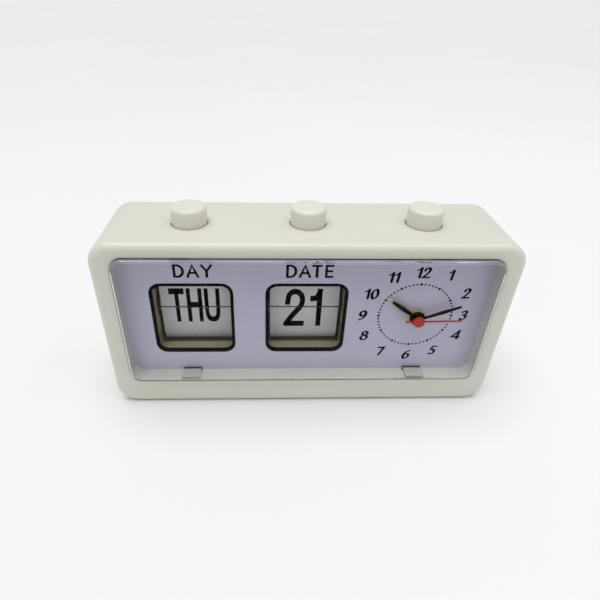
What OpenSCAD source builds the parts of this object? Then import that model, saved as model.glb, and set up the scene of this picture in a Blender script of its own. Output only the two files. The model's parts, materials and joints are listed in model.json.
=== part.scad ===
// Flip calendar alarm clock: two flip-leaf modules and a quartz dial behind one window.
// X runs from left to right, Y from front to back and Z up, in millimetres.
// Each sub-part is modelled with Y as its depth behind the front face of the case,
// and placed() moves it so that the origin is the middle of the footprint.

/* [Front window] */
// Width of the clear window
lens_w = 166; // [150:1:180]
// Height of the clear window
lens_h = 66.4; // [60:0.2:74]
// Corner radius of the clear window
lens_corner_r = 5.5; // [4:0.5:8]
// Thickness of the clear window
lens_t = 2.8; // [2.6:0.1:3.4]
// How far the window stands out of the front face
lens_proud = 2.4; // [1.6:0.1:2.6]
// Rounding of the window's front edge
lens_edge_r = 0.8; // [0.4:0.1:2.4]
// Gap between the window and its opening
lens_gap = 0.3; // [0.2:0.05:0.5]
// Width of a snap tab of the window
tab_w = 8.8; // [6:0.2:12]
// Distance of a snap tab from the middle
tab_x = 54.7; // [40:0.1:64]

/* [Case] */
// Width of the front face above the window
bezel_top = 6.3; // [5.5:0.1:9]
// Width of the front face below the window
bezel_bottom = 15.8; // [14:0.1:20]
// Width of the front face beside the window
bezel_side = 9; // [8:0.1:12]
// Corner radius of the case seen from the front
case_corner_r = 10; // [8:0.5:11]
// Rounding of the front and rear edges
case_edge_r = 3; // [2:0.1:4]
// Wall thickness of the two shells
wall = 2.4; // [1.8:0.1:2.8]
// Depth of the parting line, which runs through the buttons
parting_d = 21.5; // [20:0.5:23]
// Groove along the parting line
parting_groove = 0.3; // [0.2:0.05:0.5]
// Height of the two low bars on which the case stands
foot_h = 0.4; // [0.3:0.1:0.8]
// Distance of a bar from the front or the back of the case
foot_in = 5; // [4:0.5:8]
// Free room behind the leaves
fan_gap = 1.3; // [1.2:0.1:4]

/* [Dial] */
// Depth of the dial behind the front face
dial_d = 7.8; // [7:0.1:9]
// Thickness of the dial plate
dial_t = 1.4; // [1:0.1:2]
// Thickness of the sleeve between window and dial
sleeve_t = 1.6; // [1.2:0.1:2]
// Distance between the middles of the three bays
bay_pitch = 52; // [51:0.5:55]
// Drop of the leaf axis below the middle of the window
window_drop = 2.8; // [0:0.1:5]
// Drop of the hand axis below the middle of the window
hands_drop = 0.8; // [0:0.1:4]
// Height of a calendar window
window_h = 36.4; // [34:0.2:38]
// Corner radius of a calendar window
window_r = 4; // [2:0.5:6]

/* [Flip leaves] */
// Width of a leaf
leaf_w = 33.2; // [30:0.2:35]
// Height of a leaf above its hinge
leaf_h = 14.6; // [13:0.1:15]
// Thickness of a leaf
leaf_t = 0.2; // [0.15:0.01:0.22]
// Gap between a leaf and the side of its window
leaf_side_gap = 0.8; // [0.5:0.1:1.5]
// Room between a swinging leaf and the window
swing_gap = 3; // [2.9:0.1:5]
// Radius of the circle of leaf hinges
hinge_r = 8; // [7.5:0.1:9]
// Leaves of the day module, four weeks of seven
day_leaves = 28; // [21:7:28]
// Leaves of the date module
date_leaves = 31; // [30:1:31]
// Radius of the drum axle
axle_r = 1.5; // [1.2:0.1:2]
// Thickness of a drum disc
disc_t = 1; // [0.8:0.1:1.4]
// Thickness of the module frame
frame_t = 1.6; // [1.2:0.1:2]
// Thickness of the ratchet wheel
ratchet_t = 2; // [1.6:0.1:2.6]

/* [Buttons] */
// Radius of a button
button_r = 7.8; // [7:0.1:9]
// Height of a button above the case
button_h = 8; // [6:0.1:10]
// Rounding of a button's top edge
button_edge_r = 1.6; // [1:0.1:2]
// Gap between a button and its hole
button_gap = 0.4; // [0.3:0.1:1]
// Travel of a button
press_travel = 2.4; // [2:0.1:2.6]
// Radius of a button's stem
stem_r = 2.5; // [2:0.1:3]
// Length of a button spring at rest
spring_len = 8; // [7:0.1:9]
// Wire radius of a button spring
spring_wire_r = 0.25; // [0.2:0.01:0.3]

/* [Movement] */
// Width of the movement
movement_w = 50; // [48:0.5:52]
// Height of the movement
movement_h = 50; // [48:0.5:52]
// Height of the posts between dial and movement
movement_post = 3; // [2.6:0.1:3.4]
// Length of the minute hand
minute_len = 20.3; // [18:0.1:22]
// Length of the hour hand
hour_len = 15.6; // [14:0.1:17]
// Length of the alarm hand
alarm_len = 18; // [15:0.1:19]
// Length of the second hand
second_len = 20; // [18:0.1:22]
// Thickness of a hand
hand_t = 0.3; // [0.2:0.05:0.4]
// Step from one hand to the next
hand_step = 1.3; // [0.8:0.05:1.4]
// Minute shown on the dial
shown_minute = 11.4; // [0:0.1:59.9]
// Hour shown on the dial
shown_hour = 10; // [0:1:11]
// Second shown on the dial
shown_second = 14.8; // [0:0.1:59.9]
// Hour at which the alarm hand stands
shown_alarm = 10.2; // [0:0.1:11.9]

/* [Back] */
// Radius of a battery cell
cell_r = 7.25; // [7:0.05:7.25]
// Length of a battery cell without its nub
cell_len = 49.2; // [48:0.1:49.5]
// Room round the cell in its bay
cell_gap = 0.7; // [0.5:0.1:1]
// Room at each end of the cell for the contacts
contact_room = 4.4; // [4:0.1:5]
// Wall of the battery bay
bay_wall = 1.5; // [1.2:0.1:2]
// Radius of a setting knob
knob_r = 5.2; // [4.5:0.1:6]
// Thickness of a setting knob
knob_t = 3.4; // [2.6:0.1:4]
// Distance of a setting knob from the middle of the movement
knob_x = 9.3; // [9:0.1:9.8]
// Radius of the buzzer
buzzer_r = 10; // [8:0.5:11]

/* [Hidden] */
$fn = 64;
day = 0;
date = 1;
fit = 0.05;
press_fit = 0.02;
slip = 0.3;
over = 1;

lens_z = bezel_bottom + lens_h / 2;
case_w = lens_w + 2 * bezel_side;
case_h = bezel_bottom + lens_h + bezel_top;
open_w = lens_w + 2 * lens_gap;
open_h = lens_h + 2 * lens_gap;
open_r = lens_corner_r + lens_gap;
lens_back = lens_t - lens_proud;
dial_back = dial_d + dial_t;
dial_lap = sleeve_t - 0.3;
tab_t = 1.2;
hook_t = 1.2;
hook_d1 = dial_d - slip;
hook_d0 = hook_d1 - hook_t;
lug_out = 0.8;
lug_room = 0.1;
tongue_deep = 2;
tongue_t = 1.2;
tongue_gap = 0.15;
web_t = 2;

leaf_d = lens_back + leaf_h + swing_gap;
axis_d = leaf_d + hinge_r;
axis_z = lens_z - window_drop;
fan_r = sqrt(hinge_r * hinge_r + leaf_h * leaf_h);
case_d = axis_d + fan_r + fan_gap + wall;
overall_d = case_d + lens_proud;
window_w = leaf_w + 2 * leaf_side_gap;
hands_z = lens_z - hands_drop;
foot_x = case_w / 2 - 2 * case_corner_r;
foot_w = 4;

// Leaves and drum: the ears of each leaf turn in round holes of the two discs
split_gap = 0.6;
ear_h = 0.7;
ear_hole_r = 0.55;
disc_gap = 0.2;
disc_rim = 1.2;
disc_x = leaf_w / 2 + disc_gap;
ear_len = disc_gap + disc_t - 0.1;
hub_r = 3;
frame_x = disc_x + disc_t + 2 * slip;
frame_side = frame_x + frame_t;
ratchet_x = -frame_side - slip - ratchet_t;
axle_end = 0.8;

// Module frame
floor_z = axis_z - hinge_r - leaf_h - 0.7;
stem_end_z = axis_z + fan_r + press_travel + 1.7;
bridge_z = stem_end_z + 0.9;
bridge_top = bridge_z + frame_t;
click_post = 2;
click_post_d = 6;
click_t = 0.3;
click_rise = 2.2;
plate_back_d = axis_d + click_post_d;
bridge_width = 12;
flange_rim = 1;
sill_deep = 6.2;
sill_t = 1;
sill_z = axis_z - window_h / 2 - flange_rim;
flange_z0 = floor_z - frame_t - 4.2;
flange_z1 = bridge_top + 3.5;
stake_r = 1;
stake_head_r = 1.9;
stake_head_t = 0.8;
stake_x = 14;
stake_inset = 2.2;

// Button: a cap with a flange below the top wall, on a stem guided by the frame
flange_t = 1.4;
flange_over = 1.8;
flange_top = case_h - wall - slip;
cap_wall = 1.4;
cap_roof = case_h + button_h - cap_wall;
arm_z = bridge_top + spring_len;
arm_t = 2.5;
arm_w = 3;
arm_ring = 1.8;
bar_w = ratchet_t;
bar_d0 = dial_back + frame_t + 0.5;
bar_t = 1.8;
tooth_out = 0.7;
tooth_in = 0.9;
pawl_lift = 0.25;
pawl_reach = 0.8;
pawl_tip_t = 0.4;
pawl_root_t = 2.5;
spring_turns = 6;
spring_r = stem_r + 0.9;

// Battery bay, behind the lower part of the movement
bay_len = cell_len + 2 * contact_room;
bay_h = 2 * (cell_r + cell_gap);
bay_rise = 11.8;
bay_gap = 1.2;
cell_x = frame_side + bay_gap + bay_wall + bay_len / 2;
bay_z = wall + bay_rise + bay_h / 2;
bay_floor_d = case_d - wall - bay_h;
cell_d = case_d - wall - cell_r - cell_gap;

// Movement and hands
movement_d = dial_back + movement_post;
movement_wall = 1.4;
cover_t = 4;
plate_d = movement_d + movement_wall;
movement_back = bay_floor_d - bay_wall - slip;
pipe_wall = 0.55;
second_r = 0.5;
minute_r = second_r + fit + pipe_wall;
hour_r = minute_r + fit + pipe_wall;
alarm_r = hour_r + fit + pipe_wall;
bush_r = alarm_r + fit + 0.8;
hand_gap = 0.8;
alarm_hand_d = dial_d - hand_gap;
hour_hand_d = alarm_hand_d - hand_step;
minute_hand_d = hour_hand_d - hand_step;
second_hand_d = minute_hand_d - hand_step;
hub_out = 1.9;
alarm_blade = [1.2, 1.5, 0.9];
hour_blade = [1.1, 2.3, 1.1];
minute_blade = [1.1, 1.9, 1];
second_blade = [1, 0.85, 0.7];
belly_share = 0.6;
second_boss_r = 2.6;
second_boss_t = 0.8;
second_tail = 6;
wheel_t = 1;
wheel_gap = 0.6;
gear_module = 0.5;
gear_addendum = 0.4;
gear_dedendum = 0.6;
root_share = 0.27;
tip_share = 0.12;
pinion_teeth = 8;
wheel_teeth = 32;
centre_teeth = 10;
minute_teeth = 30;
second_teeth = 24;
gear_distance = gear_module * (wheel_teeth + pinion_teeth) / 2;
ear_out = 4.6;
ear_hole_x = 2.3;
movement_gap = 1.3;
hands_x = frame_side + axle_end + movement_gap + ear_out + movement_w / 2;

// Motor and circuit board in the movement
stator_w = 32;
stator_h = 12;
stator_t = 1.2;
stator_arm = 5;
stator_z = movement_h / 2 - movement_wall - slip - stator_h;
rotor_hole_r = 1.8;
coil_len = 18;
coil_r = 2.6;
bobbin_r = 3.2;
bobbin_t = 0.8;
bobbin_core_r = 1.2;
board_w = movement_w - 2 * (movement_wall + slip);
board_h = 9;
board_t = 1;
chip_w = 4;
chip_t = 1.4;
crystal_r = 0.9;
crystal_len = 6;

// Alarm switch on top of the movement
switch_z = hands_z + movement_h / 2;
switch_h = 5.4;
switch_w = 8;
switch_floor = 1;
switch_top = switch_z + switch_h;
plunger_w = 3;
plunger_up = press_travel + slip;
alarm_stem_z = switch_top + plunger_up + fit;

// Fasteners
screw_r = 1;
screw_head_r = 1.9;
screw_head_t = 1.2;
dial_screw_len = 5;
movement_screw_len = 4;
pilot_gap = 0.05;
boss_wall = 1.6;
case_screw_r = 1.3;
case_screw_head_r = 2.6;
case_screw_head_t = 1.8;
case_screw_in = 9;
case_boss_r = 3.2;
case_tube_r = 4;
case_screw_x = case_w / 2 - 11;
case_screw_zs = [8.4, case_h - wall - case_boss_r - 0.2];
screw_seat_d = parting_d + 5;
dial_screw_x = 60;
dial_screw_z = 8.6;
dial_skirt_w = 2 * dial_screw_x + 12;
dial_skirt_z = 4.6;
catch_x = 30;
catch_w = 8;
catch_drop = 2.6;

// Back of the case
door_t = 1.4;
door_ledge = 1.5;
door_gap = 0.2;
door_rib_t = 1;
grip_w = 0.8;
grip_deep = 0.6;
grip_pitch = 2;
grip_inset = 4;
door_seat_d = case_d - door_t - 2 * fit;
knob_drop = sqrt(gear_distance * gear_distance - knob_x * knob_x);
knob_z = hands_z - knob_drop;
knob_pivot_r = 0.9;
knob_well_r = knob_r + 2;
knob_well_d = knob_t + 0.8;
knob_d = case_d - knob_well_d + slip;
knob_stem_r = 1.6;
knob_flutes = 20;
flute_r = 0.5;
buzzer_z = hands_z + 20;
buzzer_t = 2.6;
buzzer_rim = 1.2;
buzzer_disc_t = 0.45;
sound_slots = 5;
sound_slot_w = 1.6;
sound_slot_pitch = 3.4;
sound_slot_h = 12;
contact_t = 0.4;
contact_w = 10;
cone_wire_r = 0.3;
cone_foot_r = 4;
cone_head_r = 2.4;
cone_turns = 4;
cone_len = contact_room - contact_t + cone_wire_r - fit;
nub_r = 2.6;
nub_len = 1.2;

function bay_x(m) = m == day ? -bay_pitch : 0;
function leaves(m) = m == day ? day_leaves : date_leaves;
function step(m) = 360 / leaves(m);
function raised(m) = floor((leaves(m) - 1) / 2);
function fallen(m) = leaves(m) - 1 - raised(m);
function ratchet_r(m) = press_travel / (step(m) * PI / 180);
function leaf_root(m) = hinge_r * sin(step(m) / 2) - split_gap / 2;
function click_z(m) = ratchet_r(m) + tooth_out + click_rise;

// Places and basic shapes

module placed() translate([0, lens_proud - overall_d / 2, 0]) children();

module in_bay(m) translate([bay_x(m), 0, 0]) children();

module on_axis() translate([0, axis_d, axis_z]) children();

module at_hands() translate([hands_x, 0, hands_z]) children();

module box(low, high) translate(low) cube(high - low);

// A cylinder along X from x0 to x1
module rod_x(x0, x1, r) translate([x0, 0, 0]) rotate([0, 90, 0]) cylinder(h = x1 - x0, r = r);

// A cylinder along Y from depth d0 to d1
module rod_y(d0, d1, r) translate([0, d0, 0]) rotate([-90, 0, 0]) cylinder(h = d1 - d0, r = r);

// An outline in X and Z, extruded from depth d0 to d1
module plate_y(d0, d1) translate([0, d1, 0]) rotate([90, 0, 0]) linear_extrude(d1 - d0) children();

// An outline in Y and Z, extruded from x0 to x1
module plate_x(x0, x1) translate([x0, 0, 0]) rotate([90, 0, 90]) linear_extrude(x1 - x0) children();

module rounded_rect(w, h, r) {
    square([w - 2 * r, h], center = true);
    square([w, h - 2 * r], center = true);
    for (sx = [-1, 1], sz = [-1, 1])
        translate([sx * (w / 2 - r), sz * (h / 2 - r)]) circle(r);
}

// Quarter disc with its centre at the origin, to the right of and below it
module quarter_disc(r) intersection() {
    circle(r);
    translate([0, -r]) square(r);
}

// Section through the rim of a tray: x outwards from the corner's centre, y inwards from its face
module tray_section(depth, thick, corner, edge, groove) difference() {
    union() {
        square([corner - edge, depth]);
        translate([corner - edge, edge]) square([edge, depth - edge]);
        translate([corner - edge, edge]) quarter_disc(edge);
    }
    translate([0, thick]) square([corner - thick, depth]);
    if (groove > 0) translate([corner, depth]) rotate(45) square(groove * sqrt(2), center = true);
}

// A tray with rounded corners and a rounded face edge: its section swept round a rectangle.
// With depth and thick alike it is a plate.
module tray(w, h, depth, thick, corner, edge, groove = 0) {
    x = w / 2 - corner;
    z = h / 2 - corner;
    for (turn = [0:3]) {
        sx = turn == 0 || turn == 3 ? 1 : -1;
        sz = turn < 2 ? -1 : 1;
        translate([sx * x, 0, sz * z]) rotate([-90, 0, 0]) rotate(90 * turn)
            rotate_extrude(angle = 90) tray_section(depth, thick, corner, edge, groove);
    }
    for (side = [0, 1]) mirror([side, 0, 0]) translate([x, 0, -z])
        linear_extrude(2 * z) tray_section(depth, thick, corner, edge, groove);
    for (side = [0, 1]) mirror([0, 0, side]) translate([x, 0, z]) rotate([0, -90, 0])
        linear_extrude(2 * x) tray_section(depth, thick, corner, edge, groove);
    box([-x, 0, -z], [x, thick, z]);
}

// Points and faces of a round wire along a path of centres with radial directions
function ring_points(c, out, up, r, sides) =
    [for (i = [0:sides - 1]) c + r * (cos(360 * i / sides) * out + sin(360 * i / sides) * up)];

function tube_faces(rings, sides) = concat(
    [for (i = [1:sides - 2]) [0, i + 1, i]],
    [for (k = [0:rings - 2], i = [0:sides - 1], half = [0, 1]) let (
        a = k * sides + i,
        b = k * sides + (i + 1) % sides
    ) half == 0 ? [a, b + sides, a + sides] : [a, b, b + sides]],
    [for (i = [1:sides - 2]) let (e = (rings - 1) * sides) [e, e + i, e + i + 1]]
);

// A coil spring along Z whose radius runs from r0 at its foot to r1 at its head
module coil(r0, r1, wire_r, height, turns) {
    sides = 6;
    per_turn = 12;
    rings = turns * per_turn + 1;
    rise = height - 2 * wire_r;
    points = [for (k = [0:rings - 1]) let (
        t = k / (rings - 1),
        out = [cos(360 * turns * t), sin(360 * turns * t), 0],
        centre = (r0 + (r1 - r0) * t) * out + [0, 0, wire_r + rise * t]
    ) each ring_points(centre, out, [0, 0, 1], wire_r, sides)];
    polyhedron(points, tube_faces(rings, sides));
}

// A pan-head screw along +Y with its head's seat at the origin and a cross recess
module screw(r, length, head_r, head_t) difference() {
    union() {
        rod_y(-length, 0, r);
        rod_y(0, head_t, head_r);
    }
    for (turn = [0, 90]) rotate([0, turn, 0])
        box([-0.2 * head_r, head_t / 2, -0.6 * head_r], [0.2 * head_r, head_t + over, 0.6 * head_r]);
}

// Case

// One shell with a bar moulded under it
module case_shell(depth) {
    difference() {
        translate([0, 0, case_h / 2])
            tray(case_w, case_h, depth, wall, case_corner_r, case_edge_r, parting_groove);
        box([-case_w / 2, -over, -over], [case_w / 2, depth + over, foot_h]);
    }
    box([-foot_x, foot_in, 0], [foot_x, foot_in + foot_w, wall / 2]);
}

module button_holes() for (x = [-bay_pitch, 0, hands_x])
    translate([x, parting_d, case_h - 2 * wall]) cylinder(h = 3 * wall, r = button_r + button_gap);

module at_case_screws() for (sx = [-1, 1], z = case_screw_zs)
    translate([sx * case_screw_x, 0, z]) children();

module at_dial_screws() for (k = [-1:1]) translate([k * dial_screw_x, 0, dial_screw_z]) children();

// Notches in the sleeve for the window's hooks below, and pockets for its lugs above
module lens_slots() for (sx = [-1, 1]) translate([sx * tab_x, 0, lens_z]) {
    box([-tab_w / 2 - slip, hook_d0 - slip, -open_h / 2 - sleeve_t - over],
        [tab_w / 2 + slip, dial_d + over, -open_h / 2 + over]);
    box([-tab_w / 2 - slip, hook_d0 - slip, open_h / 2 - over],
        [tab_w / 2 + slip, dial_d + over, lens_h / 2 + lug_out + lug_room]);
}

module front_case() color("ivory") difference() {
    union() {
        case_shell(parting_d);
        translate([0, 0, lens_z]) plate_y(wall / 2, dial_d)
            rounded_rect(open_w + 2 * sleeve_t, open_h + 2 * sleeve_t, open_r + sleeve_t);
        at_dial_screws() rod_y(wall / 2, dial_d, screw_r + boss_wall);
        for (sx = [-1, 1]) {
            translate([sx * case_screw_x, 0, case_screw_zs[0]]) rod_y(wall / 2, parting_d, case_boss_r);
            translate([sx * case_screw_x, 0, case_screw_zs[1]]) {
                rod_y(dial_back + slip, parting_d, case_boss_r);
                box([-web_t / 2, dial_back + slip, 0], [web_t / 2, parting_d, case_boss_r + wall / 2]);
            }
            translate([sx * catch_x, dial_back + fit, case_h - wall])
                box([-catch_w / 2, 0, -catch_drop - slip], [catch_w / 2, frame_t, wall / 2]);
        }
    }
    translate([0, 0, lens_z]) plate_y(-over, dial_d + over) rounded_rect(open_w, open_h, open_r);
    lens_slots();
    button_holes();
    at_dial_screws() rod_y(wall, dial_d + over, screw_r + pilot_gap);
    at_case_screws() rod_y(parting_d - case_screw_in - over, parting_d + over, case_screw_r + pilot_gap);
}

// Tongues of the rear shell that slip into the front shell
module tongues() {
    front = parting_d - tongue_deep;
    back = parting_d + tongue_deep;
    x1 = case_w / 2 - wall - tongue_gap;
    x0 = x1 - tongue_t;
    z0 = wall + tongue_gap;
    z1 = z0 + tongue_t;
    for (side = [0, 1]) mirror([side, 0, 0]) {
        box([x0, front, case_h / 4], [x1, back, case_h * 3 / 4]);
        box([x0, parting_d, case_h / 4], [x1 + wall / 2, back, case_h * 3 / 4]);
    }
    box([-case_w / 4, front, z0], [case_w / 4, back, z1]);
    box([-case_w / 4, parting_d, wall / 2], [case_w / 4, back, z1]);
}

module at_knob(sx) translate([hands_x + sx * knob_x, 0, knob_z]) children();

module at_cell() translate([cell_x, 0, bay_z]) children();

module battery_bay_outside() at_cell()
    box([-bay_len / 2 - bay_wall, bay_floor_d - bay_wall, -bay_h / 2 - bay_wall],
        [bay_len / 2 + bay_wall, case_d - wall / 2, bay_h / 2 + bay_wall]);

module battery_bay_inside() at_cell() {
    box([-bay_len / 2, bay_floor_d, -bay_h / 2], [bay_len / 2, case_d + over, bay_h / 2]);
    box([-bay_len / 2 - door_ledge, door_seat_d, -bay_h / 2 - door_ledge],
        [bay_len / 2 + door_ledge, case_d + over, bay_h / 2 + door_ledge]);
}

module rear_case() color("ivory") difference() {
    union() {
        translate([0, case_d, 0]) mirror([0, 1, 0]) case_shell(case_d - parting_d);
        tongues();
        at_case_screws() rod_y(parting_d, case_d - wall / 2, case_tube_r);
        for (sx = [-1, 1]) translate([sx * case_screw_x, 0, case_screw_zs[0]])
            box([-web_t / 2, parting_d, wall / 2 - case_screw_zs[0]], [web_t / 2, case_d - wall / 2, 0]);
        battery_bay_outside();
        for (sx = [-1, 1]) at_knob(sx)
            rod_y(case_d - knob_well_d - bay_wall, case_d - wall / 2, knob_well_r + bay_wall);
        translate([hands_x, 0, buzzer_z])
            rod_y(case_d - wall - buzzer_t, case_d - wall / 2, buzzer_r + buzzer_rim);
    }
    button_holes();
    at_case_screws() {
        rod_y(parting_d - over, case_d + over, case_screw_r + slip);
        rod_y(screw_seat_d, case_d + over, case_screw_head_r + slip);
    }
    battery_bay_inside();
    for (sx = [-1, 1]) at_knob(sx) {
        rod_y(case_d - knob_well_d, case_d + over, knob_well_r);
        rod_y(case_d - knob_well_d - 2 * bay_wall, case_d, knob_stem_r + slip);
    }
    translate([hands_x, 0, buzzer_z]) {
        rod_y(case_d - wall - 2 * buzzer_t, case_d - wall, buzzer_r + fit);
        for (k = [0:sound_slots - 1]) translate([(k - (sound_slots - 1) / 2) * sound_slot_pitch, 0, 0])
            box([-sound_slot_w / 2, case_d - 2 * wall, -sound_slot_h / 2],
                [sound_slot_w / 2, case_d + over, sound_slot_h / 2]);
    }
}

module lens() color("lightcyan", 0.4) {
    translate([0, -lens_proud, lens_z])
        tray(lens_w, lens_h, lens_t, lens_t, lens_corner_r, lens_edge_r);
    for (sx = [-1, 1], side = [0, 1])
        translate([sx * tab_x, 0, lens_z]) mirror([0, 0, side]) translate([0, 0, -lens_h / 2]) {
            box([-tab_w / 2, 0, 0], [tab_w / 2, hook_d1, tab_t]);
            box([-tab_w / 2, hook_d0, side == 0 ? -sleeve_t : -lug_out], [tab_w / 2, hook_d1, tab_t]);
        }
}

module dial_plate() color("lavender") {
    difference() {
        union() {
            translate([0, 0, lens_z]) plate_y(dial_d, dial_back)
                rounded_rect(open_w + 2 * dial_lap, open_h + 2 * dial_lap, open_r);
            box([-dial_skirt_w / 2, dial_d, dial_skirt_z], [dial_skirt_w / 2, dial_back, lens_z]);
            at_movement_ears() rod_y(dial_d + dial_t / 2, movement_d, screw_r + boss_wall);
        }
        for (m = [day, date]) in_bay(m) translate([0, 0, axis_z]) plate_y(dial_d - over, dial_back + over)
            rounded_rect(window_w, window_h, window_r);
        at_hands() rod_y(dial_d - over, dial_back + over, bush_r + fit);
        at_dial_screws() rod_y(dial_d - over, dial_back + over, screw_r + slip);
        at_movement_ears() rod_y(dial_back - dial_t / 2, movement_d + over, screw_r + pilot_gap);
    }
    for (m = [day, date]) in_bay(m) at_stakes() {
        rod_y(dial_back - dial_t / 2, dial_back + frame_t + stake_head_t, stake_r);
        rod_y(dial_back + frame_t, dial_back + frame_t + stake_head_t, stake_head_r);
    }
}

module dial_screws() color("silver") at_dial_screws() translate([0, dial_back, 0])
    screw(screw_r, dial_screw_len, screw_head_r, screw_head_t);

module case_screws() color("silver") at_case_screws() translate([0, screw_seat_d, 0])
    screw(case_screw_r, screw_seat_d - parting_d + case_screw_in, case_screw_head_r, case_screw_head_t);

// Buttons

// Section of a button: x is the radius, y the height
module button_section(stem_end) {
    top = case_h + button_h;
    low = flange_top - flange_t;
    difference() {
        union() {
            translate([0, low]) square([button_r - button_edge_r, top - low]);
            translate([0, low]) square([button_r, top - button_edge_r - low]);
            translate([button_r - button_edge_r, top - button_edge_r]) mirror([0, 1])
                quarter_disc(button_edge_r);
            translate([0, low]) square([button_r + flange_over, flange_t]);
        }
        translate([0, low - over]) square([button_r - cap_wall, top - cap_wall - low + over]);
    }
    translate([0, stem_end]) square([stem_r, top - cap_wall / 2 - stem_end]);
}

module push_button(x, stem_end) color("ivory") translate([x, parting_d, 0])
    rotate_extrude() button_section(stem_end);

module button_spring(x, foot_z, head_z) color("silver") translate([x, parting_d, foot_z + fit])
    coil(spring_r, spring_r, spring_wire_r, head_z - foot_z - 2 * fit, spring_turns);

// Arm on a button's stem: a bar beside the frame carries the finger that pushes the ratchet
module pawl_arm(m) {
    bar_x = ratchet_x + ratchet_t / 2;
    bar_mid = bar_d0 + bar_t / 2;
    face_z = ratchet_r(m) * sin(step(m) / 2);
    finger_d = axis_d - ratchet_r(m) - tooth_out + pawl_reach;
    reach = norm([bar_x, bar_mid - parting_d]);
    color("gainsboro") in_bay(m) difference() {
        union() {
            translate([0, parting_d, arm_z]) {
                cylinder(h = arm_t, r = stem_r + arm_ring);
                rotate(atan2(bar_mid - parting_d, bar_x))
                    box([0, -arm_w / 2, 0], [reach, arm_w / 2, arm_t]);
            }
            box([bar_x - bar_w / 2, bar_d0, axis_z], [bar_x + bar_w / 2, bar_d0 + bar_t, arm_z + arm_t]);
            translate([0, 0, axis_z + face_z + pawl_lift]) plate_x(bar_x - bar_w / 2, bar_x + bar_w / 2)
                polygon([[bar_d0, 0], [finger_d, 0], [finger_d, pawl_tip_t], [bar_d0 + bar_t, pawl_root_t],
                    [bar_d0, pawl_root_t]]);
        }
        translate([0, parting_d, arm_z - over]) cylinder(h = arm_t + 2 * over, r = stem_r + press_fit);
    }
}

// Flip modules

module at_stakes() for (sx = [-1, 1], z = [flange_z0 + stake_inset, flange_z1 - stake_inset])
    translate([sx * stake_x, 0, z]) children();

module flip_frame(m) color("darkkhaki") in_bay(m) difference() {
    union() {
        box([-frame_side, dial_back, flange_z0], [frame_side, dial_back + frame_t, flange_z1]);
        for (side = [0, 1]) mirror([side, 0, 0])
            box([frame_x, dial_back, floor_z - frame_t], [frame_side, plate_back_d, bridge_top]);
        box([-frame_side, dial_back, floor_z - frame_t], [frame_side, plate_back_d, floor_z]);
        box([-frame_side, dial_back, sill_z - sill_t], [frame_side, dial_back + sill_deep, sill_z]);
        box([-frame_side, parting_d - bridge_width / 2, bridge_z],
            [frame_side, parting_d + bridge_width / 2, bridge_top]);
        on_axis() translate([0, click_post_d - click_post, click_z(m) - click_post])
            box([-frame_side - ratchet_t - slip, 0, 0], [-frame_x, click_post, click_post]);
    }
    box([-frame_x, dial_back - over, sill_z],
        [frame_x, dial_back + frame_t, axis_z + window_h / 2 + flange_rim]);
    on_axis() rod_x(-frame_side - over, frame_side + over, axle_r + fit);
    translate([0, parting_d, bridge_z - over]) cylinder(h = frame_t + 2 * over, r = stem_r + fit);
    at_stakes() rod_y(dial_back - over, dial_back + frame_t + over, stake_r + press_fit);
}

module flip_axle(m) color("silver") in_bay(m) on_axis()
    rod_x(ratchet_x - axle_end, frame_side + axle_end, axle_r);

module flip_drum(m) color("dimgray") in_bay(m) on_axis() difference() {
    union() {
        rod_x(-disc_x, disc_x, hub_r);
        for (side = [0, 1]) mirror([side, 0, 0]) rod_x(disc_x, disc_x + disc_t, hinge_r + disc_rim);
    }
    rod_x(-frame_x, frame_x, axle_r + press_fit);
    for (k = [0:leaves(m) - 1]) let (a = step(m) * (k + 0.5))
        translate([0, -hinge_r * cos(a), hinge_r * sin(a)]) for (side = [0, 1]) mirror([side, 0, 0])
            rod_x(disc_x - over, disc_x + disc_t + over, ear_hole_r, $fn = 24);
}

// Saw teeth whose upright faces stand at half steps from the front
module ratchet(m) color("gainsboro") in_bay(m) on_axis() difference() {
    plate_x(ratchet_x, ratchet_x + ratchet_t) polygon([for (k = [0:leaves(m) - 1], top = [1, 0]) let (
        a = step(m) * (k + 0.5),
        r = ratchet_r(m) + (top == 1 ? tooth_out : -tooth_in)
    ) [-r * cos(a), r * sin(a)]]);
    rod_x(ratchet_x - over, ratchet_x + ratchet_t + over, axle_r + press_fit);
}

// A leaf with its hinge on the X axis: it reaches down to the split line and has an ear at each side
module leaf(m) {
    box([-leaf_w / 2, -leaf_t / 2, -leaf_root(m)], [leaf_w / 2, leaf_t / 2, leaf_h]);
    box([-leaf_w / 2 - ear_len, -leaf_t / 2, -ear_h / 2], [leaf_w / 2 + ear_len, leaf_t / 2, ear_h / 2]);
}

// A leaf hinged at angle a round the drum, counted upwards from the front, and leaning at angle lean
module leaf_at(m, a, lean) on_axis() translate([0, -hinge_r * cos(a), hinge_r * sin(a)])
    rotate([90 - lean, 0, 0]) leaf(m);

module front_leaf(m) color("whitesmoke") in_bay(m) leaf_at(m, step(m) / 2, 90);

module raised_leaves(m) color("whitesmoke") in_bay(m)
    for (k = [1:raised(m)]) leaf_at(m, step(m) * (k + 0.5), 90 + k * step(m));

module fallen_leaves(m) color("whitesmoke") in_bay(m)
    for (k = [0:fallen(m) - 1]) leaf_at(m, -step(m) * (k + 0.5), 270);

// A strip on the frame's post whose bent tip rests between two teeth
module click_spring(m) {
    tooth = round(90 / step(m)) + 0.5;
    a = step(m) * (tooth + 0.45);
    tip_r = ratchet_r(m) + 0.2;
    tip = [-tip_r * cos(a), tip_r * sin(a)];
    top = click_z(m);
    color("goldenrod") in_bay(m) on_axis() plate_x(ratchet_x, ratchet_x + ratchet_t)
        polygon([[click_post_d, top], [click_post_d, top + click_t], [tip[0] - click_t, top + click_t],
            tip, [tip[0] + click_t / 2, tip[1]], [tip[0], top]]);
}

// Movement and hands

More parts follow.
